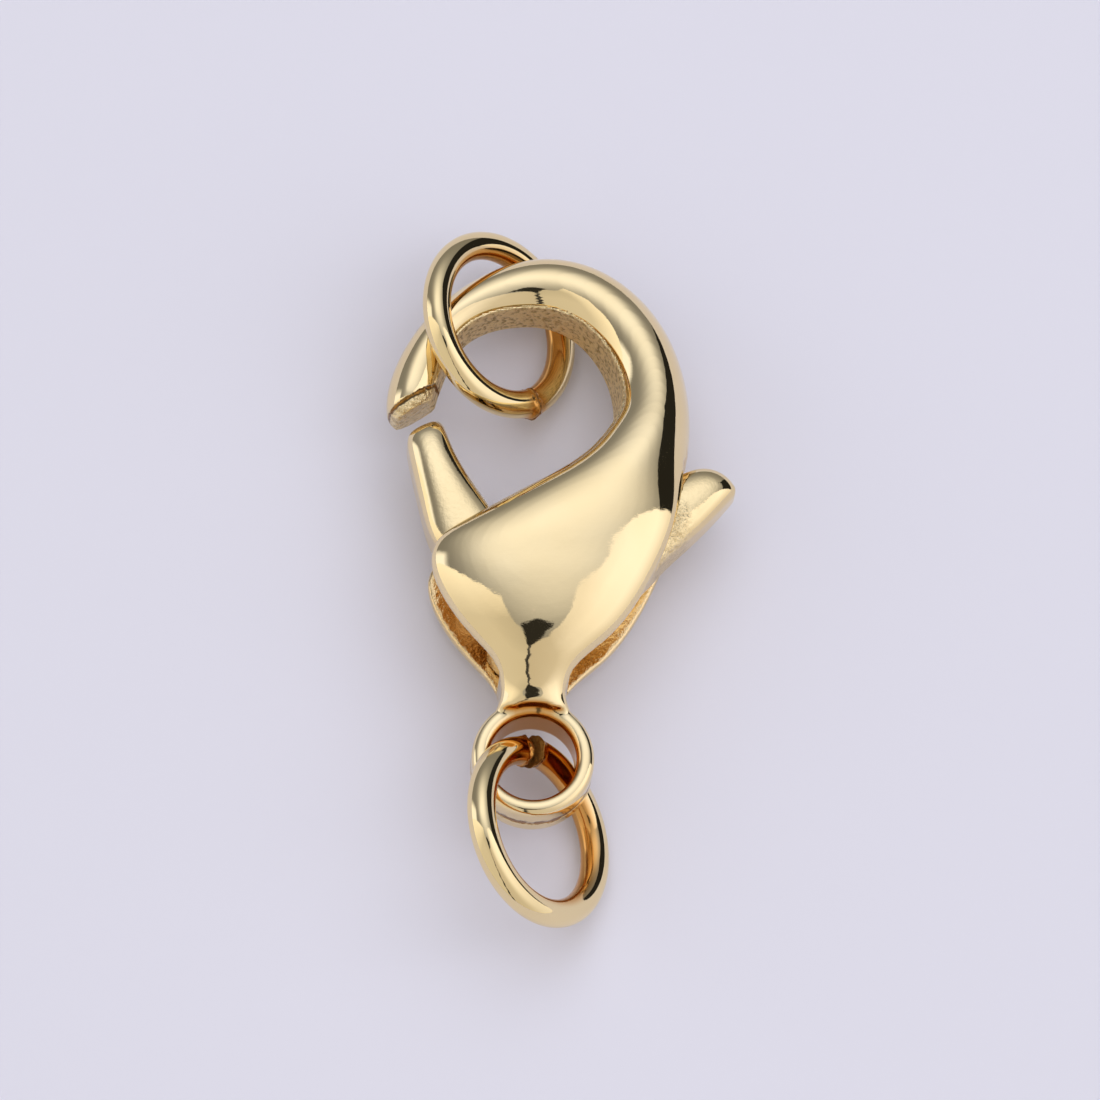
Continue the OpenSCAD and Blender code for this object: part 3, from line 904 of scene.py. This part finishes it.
def leaning_ring(name, node, turn, spin, ends_offset):
    """A cut ring in the place of a packed one; turn is its lean's compass angle, spin its cut's."""
    low, high = in_mm(node)
    centre = (low + high) / 2
    bend = (RING_OUTER - WIRE) / 2
    tilt = asin((centre[2] - WIRE / 2) / bend)
    piece = solid(name, [(0, 0, 0), (1, 0, 0), (0, 1, 0)], [(0, 1, 2)])
    run_tree(piece, ring_tree, {
        "Bend radius": bend, "Wire": WIRE, "Cut": RING_CUT, "Offset of the ends": ends_offset,
        "Rounding of the ends": END_ROUNDING, "Burr": BURR, "Steps": RING_STEPS,
        "Sides": WIRE_SIDES, "Metal": wire_gold,
    })
    points, _ = vertex_arrays(piece)
    inner_side = (bend - np.hypot(points[:, 0], points[:, 1])) / (WIRE / 2)
    from_cut = np.abs(np.arctan2(points[:, 1], points[:, 0])) * bend
    # Painted shade near the cut and on the ring's inside.
    cut_shade = CUT_MIRROR_SHADE * (1 - ease(from_cut, *CUT_SHADE_FADE))
    mark(piece, "deep_gold", np.maximum(INSIDE_MIRROR_SHADE * ease(inner_side, 0.1, 0.8), cut_shade))
    mark(piece, "seam_distance", np.maximum(from_cut - RING_CUT, 0))
    stand = Matrix.Translation(centre) @ Matrix.Rotation(radians(turn), 4, "Z")
    stand = stand @ Matrix.Rotation(tilt, 4, "Y") @ Matrix.Rotation(radians(spin), 4, "Z")
    piece.data.transform(stand)
    print(name, "leans", round(tilt * 180 / pi, 1), "degrees,", len(piece.data.polygons), "faces")
    return piece


hook_ring = leaning_ring("hook_ring_wire", "hook_jump_ring", 4.7, -68, 0.40)
eye_ring = leaning_ring("eye_ring_wire", "eye_jump_ring", 6.9, 90, 0.12)

# %% [markdown]
# ## The spring
#
# A bent strip lies round the bottom of the slot. One leg rests on the casting and the other under
# the lever, which it pushes closed. Its tree runs along the row of points from the tables.

# %% Spring strip
SPRING_STEPS = 80
spring_points = [(*(place(*point) + EYE), MIDDLE_Z) for point in SPRING]
spring = bpy.data.objects.new("spring_strip", bpy.data.meshes.new("spring_strip"))
spring.data.from_pydata(spring_points, [(i, i + 1) for i in range(len(spring_points) - 1)], [])
bpy.context.scene.collection.objects.link(spring)
run_tree(spring, strip_tree, {
    "Strip thickness": STRIP_THICK, "Strip height": SLOT_WIDTH - 2 * STRIP_GAP,
    "Steps": SPRING_STEPS, "Metal": spring_gold,
})
print("spring:", len(spring.data.polygons), "faces")

# %% [markdown]
# ## The pin
#
# The pin is turned and pressed in from the back. Its two ends are eased, so it is spun from half
# of its outline and not taken from a ready cylinder.

# %% Pivot pin
PIN_EASE, PIN_TURNS = 0.06, 64
low, high, r = pin_low[2], pin_high[2], PIN / 2
halfway = 0.3 * PIN_EASE
outline = [(r - PIN_EASE, low), (r - halfway, low + halfway), (r, low + PIN_EASE)]
outline += [(r, low + (high - low) * k / 6) for k in range(1, 6)]
outline += [(r, high - PIN_EASE), (r - halfway, high - halfway), (r - PIN_EASE, high)]
angles = 2 * pi * np.arange(PIN_TURNS) / PIN_TURNS
pin_points = [(PIVOT[0] + x * cos(a), PIVOT[1] + x * sin(a), z) for a in angles for x, z in outline]
n = len(outline)
pin_faces = [
    [i * n + k, (i + 1) % PIN_TURNS * n + k, (i + 1) % PIN_TURNS * n + k + 1, i * n + k + 1]
    for i in range(PIN_TURNS) for k in range(n - 1)
]
pin_ends = [[i * n for i in range(PIN_TURNS)], [i * n + n - 1 for i in range(PIN_TURNS)]]
pin = solid("turned_pin", pin_points, pin_faces + pin_ends)
pin.data.shade_smooth()
print("pin:", round(high - low, 2), "mm long")

# %% [markdown]
# ## Into the frame
#
# Every mesh is brought from millimetres to metres and gets its metal. Every mesh but the spring is
# told which imported body it moves with, and the imported node that it stands for is hidden. The
# spring's transform is baked into its mesh, and the imported spring is hidden.

# %% Scale, dress and ride
for piece, metal in [
    (casting, casting_gold), (lever, lever_gold), (pin, pin_gold),
    (hook_ring, wire_gold), (eye_ring, wire_gold), (spring, spring_gold),
]:
    piece.data.transform(Matrix.Scale(MM, 4))
    piece.data.materials.clear()
    piece.data.materials.append(metal)

for piece, body, node, finish in [
    (casting, "clasp", "clasp_body", "body_gold"),
    (lever, "trigger", "lever", "lever_gold"),
    (pin, "clasp", "pivot_pin", "pin_gold"),
    (hook_ring, "clasp", "hook_jump_ring", "ring_gold"),
    (eye_ring, "clasp", "eye_jump_ring", "ring_gold"),
]:
    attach(piece, body)
    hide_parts(node)

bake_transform(spring)
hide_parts("trigger_spring")

# %% [markdown]
# ## Floor and camera
#
# The clasp lies on a pale, faintly lavender sheet. The camera looks down from 19 degrees off the
# vertical, toward the hook, with a long lens, so that the picture hardly shows any perspective.

# %% Floor
FLOOR_HALF, PAPER = 0.6, (0.70, 0.69, 0.775, 1)
sheet = bpy.data.materials.new("pale paper")
sheet.use_nodes = True
paper = sheet.node_tree.nodes["Principled BSDF"]
paper.inputs["Base Color"].default_value = PAPER
paper.inputs["Roughness"].default_value = 0.9
paper.inputs["Specular IOR Level"].default_value = 0.1
floor_corners = [(x, y, 0) for x in (-FLOOR_HALF, FLOOR_HALF) for y in (-FLOOR_HALF, FLOOR_HALF)]
floor = solid("floor", floor_corners, [(0, 2, 3, 1)])
floor.data.materials.append(sheet)
floor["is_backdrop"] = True
print("floor is", 2 * FLOOR_HALF, "m wide")

# %% Camera
PICTURE_WIDTH, LENS, SENSOR = 27.85 * MM, 400.0, 36.0
CENTRE_FROM_EYE = (0.456, 5.719)
PICTURE_CENTRE = Vector((*(EYE + CENTRE_FROM_EYE), MIDDLE_Z)) * MM
TO_CAMERA = Vector((-0.0495, -0.3256, 0.9456)).normalized()
picture_up = (Vector((0, 1, 0)) - TO_CAMERA.y * TO_CAMERA).normalized()
picture_right = picture_up.cross(TO_CAMERA)
turn = Matrix((picture_right, picture_up, TO_CAMERA)).transposed().to_4x4()
camera = bpy.data.objects.new("camera", bpy.data.cameras.new("camera"))
camera.data.lens, camera.data.sensor_width = LENS, SENSOR
distance = PICTURE_WIDTH * LENS / SENSOR
camera.matrix_world = Matrix.Translation(PICTURE_CENTRE + distance * TO_CAMERA) @ turn
camera.data.clip_start, camera.data.clip_end = 0.01, 5.0
bpy.context.scene.collection.objects.link(camera)
bpy.context.scene.camera = camera
print("camera stands", round(distance, 3), "m away")

# %% [markdown]
# ## Light
#
# A mirror needs a room. Small polished things are shot in a tent: here a dome whose back half
# glows softly, two pale boards in front with a narrow gap between them, and dark cards that give
# the crisp black lines without which gold looks like plastic. Each is a piece of a sphere round
# the clasp, given by compass angles and heights, and shines with a colour that may change over
# it. Cloth hangs in folds, so a board's free side may be wavy, and its mirrored edge then wanders
# over the metal as it does on a real clasp. The camera doesn't see any of them. Cycles takes only
# the inner side of the cloth as a lamp, which halves the time of a render.

# %% Helpers for the dome
ROOM = 0.5


def toward(compass, height):
    """The direction to a place in the room: compass turns from +X toward +Y, in degrees."""
    c, h = radians(compass), radians(height)
    return Vector((cos(c) * cos(h), sin(c) * cos(h), sin(h)))


def apart(compass, height, spot):
    """The angle in degrees between two places in the room."""
    return toward(compass, height).angle(toward(*spot)) * 180 / pi


shine = bpy.data.materials.new("lit cloth of the tent")
shine.use_nodes = True
shine.cycles.emission_sampling = "FRONT"
cloth = shine.node_tree
cloth.nodes.remove(cloth.nodes["Principled BSDF"])
glow = add(cloth, "ShaderNodeAttribute", {"attribute_name": "glow"}).outputs["Color"]
lit = add(cloth, "ShaderNodeEmission", Color=glow, Strength=1.0).outputs[0]
cloth.links.new(lit, cloth.nodes["Material Output"].inputs["Surface"])


def hang(name, nearer, places, faces, colours):
    """Hangs a sheet of lit cloth with a colour at each of its places; the camera doesn't see it."""
    sheet = solid(name, [ROOM * nearer * toward(*place) for place in places], faces, merge=False)
    layer = sheet.data.attributes.new("glow", "FLOAT_COLOR", "POINT")
    layer.data.foreach_set("color", np.array([(*c, 1.0) for c in colours], np.float32).ravel())
    sheet.data.materials.append(shine)
    sheet.visible_camera = sheet.visible_shadow = False
    sheet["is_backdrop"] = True


def board(name, nearer, west, east, heights, colour, step=3.0, folds=(0, 0)):
    """Hangs a patch of the dome; west and east are a side's angles at its foot and at its head.

    The folds are the degrees by which the cloth of the two sides hangs in waves.
    """
    up = np.linspace(*heights, round((heights[1] - heights[0]) / step) + 2)
    n = round(abs(east[0] - west[0]) / step) + 2
    places = []
    for height in up:
        wave = sin(0.45 * height) + 0.5 * sin(1.3 * height)
        left = np.interp(height, heights, west) + folds[0] * wave
        right = np.interp(height, heights, east) + folds[1] * wave
        places += [(compass, height) for compass in np.linspace(left, right, n)]
    faces = [[k * n + i, k * n + i + 1, (k + 1) * n + i + 1, (k + 1) * n + i]
             for k in range(len(up) - 1) for i in range(n - 1)]
    hang(name, nearer, places, faces, [colour(*place) for place in places])


# %% [markdown]
# ### What hangs where
#
# The tent's glows are soft spots high at the back, which the upper faces mirror. The right board
# gives the pale zone at the right of the body and the left board the one at its left. They part
# in front by the few degrees that draw the dark line down the neck. The card at the right makes
# the black band along the hook's outer side, and the card above stands for the camera itself.

# %% Colours of the tent and its boards
# Columns: compass and height of a glow's middle, its width in degrees, its strength
TENT_GLOWS = [[68, 66, 26, 0.90], [122, 68, 12, 0.28], [106, 46, 20, 0.33]]
TENT_DARK, TENT_BACK, BACK_FROM = 0.05, 0.20, -0.2
TENT_TINT, LEFT_TINT = (0.97, 1.0, 1.10), (1.04, 1.0, 0.94)
RIGHT_DIM, RIGHT_LIT = (0.66, 0.62, 0.58), (1.35, 1.35, 1.44)


def tent_colour(compass, height):
    """Brightest high at the back, with a pale strip low at the left, and dark in front."""
    level = TENT_DARK + TENT_BACK * (toward(compass, height).y > BACK_FROM)
    for where, rise, width, strength in TENT_GLOWS:
        level += strength * exp(-((apart(compass, height, (where, rise)) / width) ** 2))
    level += np.interp(compass, [153, 160], [0, 1]) * np.interp(height, [34, 44], [1, 0])
    return tuple(level * share for share in TENT_TINT)


def right_colour(compass, height):
    """Neutral and bright at the side, warmer and darker toward the gap."""
    side = np.interp(compass, [-92, -60, -30, 5], [0, 0.12, 0.7, 1.0])
    side *= np.interp(height, [10, 40, 62, 74], [0.5, 1, 0.9, 0.6])
    return tuple(dim + (lit - dim) * side for dim, lit in zip(RIGHT_DIM, RIGHT_LIT))


def left_colour(compass, height):
    """Brighter where it comes round to the back, and a little darker toward the top."""
    level = np.interp(compass, [-185, -172, -155, -100], [1.15, 1.0, 0.74, 0.70])
    level *= np.interp(height, [55, 78], [1.0, 0.85])
    return tuple(level * share for share in LEFT_TINT)


def black(compass, height):
    """Black velvet, the same all over."""
    return (0.02, 0.02, 0.02)


# %% Hang the tent, its boards and the dark cards
LENS_CARD, LENS_DARK = [(-132, 80), (-98, 70), (-43, 79), (-70, 86)], (0.03, 0.03, 0.03)
board("tent", 1.1, (-180, -180), (180, 180), (-4, 89.5), tent_colour)
board("right_board", 1.0, (-93, -93), (9, 24), (-3, 76), right_colour, 1.5, folds=(1.5, 0))
board("left_board", 1.0, (-188, -188), (-98.5, -98.5), (-3, 78), left_colour, 1.5, folds=(0, 1.5))
board("right_card", 0.9, (9, 16), (52, 46), (-3, 38), black)
hang("camera_card", 0.9, LENS_CARD, [(0, 1, 2, 3)], [LENS_DARK] * len(LENS_CARD))

# %% [markdown]
# ### A lamp for the paper
#
# The tent alone leaves the paper too dark, so a wide lamp adds to it. It casts no shadow and no
# metal mirrors it: the soft shade round the clasp comes from the tent, which the clasp partly
# hides. Outside the tent is a pale room, for pictures from the side that look past the paper.

# %% Lamp and room
FLOOR_LAMP, LAMP_WIDTH, LAMP_PLACE, LAMP_NEARER = 0.74, 0.5, (60, 72), 0.6
PALE_ROOM = (0.74, 0.72, 0.80, 1)
lamp = bpy.data.lights.new("lamp over the paper", "AREA")
lamp.shape, lamp.size = "DISK", LAMP_WIDTH
lamp.use_shadow = False
lamp.energy = FLOOR_LAMP * pi * pi * (LAMP_WIDTH / 2) ** 2
lamp_stand = bpy.data.objects.new("lamp over the paper", lamp)
lamp_stand.location = LAMP_NEARER * ROOM * toward(*LAMP_PLACE)
lamp_stand.rotation_euler = lamp_stand.location.to_track_quat("Z", "Y").to_euler()
lamp_stand.visible_camera = lamp_stand.visible_glossy = False
bpy.context.scene.collection.objects.link(lamp_stand)

world = bpy.data.worlds.new("pale room")
world.use_nodes = True
world.node_tree.nodes["Background"].inputs["Color"].default_value = PALE_ROOM
bpy.context.scene.world = world
bpy.context.scene.view_settings.view_transform = "Standard"
print("lamp:", round(lamp.energy, 3), "W")

# %% [markdown]
# ## The two boxes
#
# The imported model's box and the dressed clasp's box are both printed. The dressed
# clasp must stay in the imported model's box.

# %% Boxes
visual_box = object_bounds()
boxes = {"cad": [list(v) for v in cad_box], "visual": [list(v) for v in visual_box]}
for title, (low, high) in boxes.items():
    print(title, [round(a / MM, 3) for a in low], [round(a / MM, 3) for a in high])
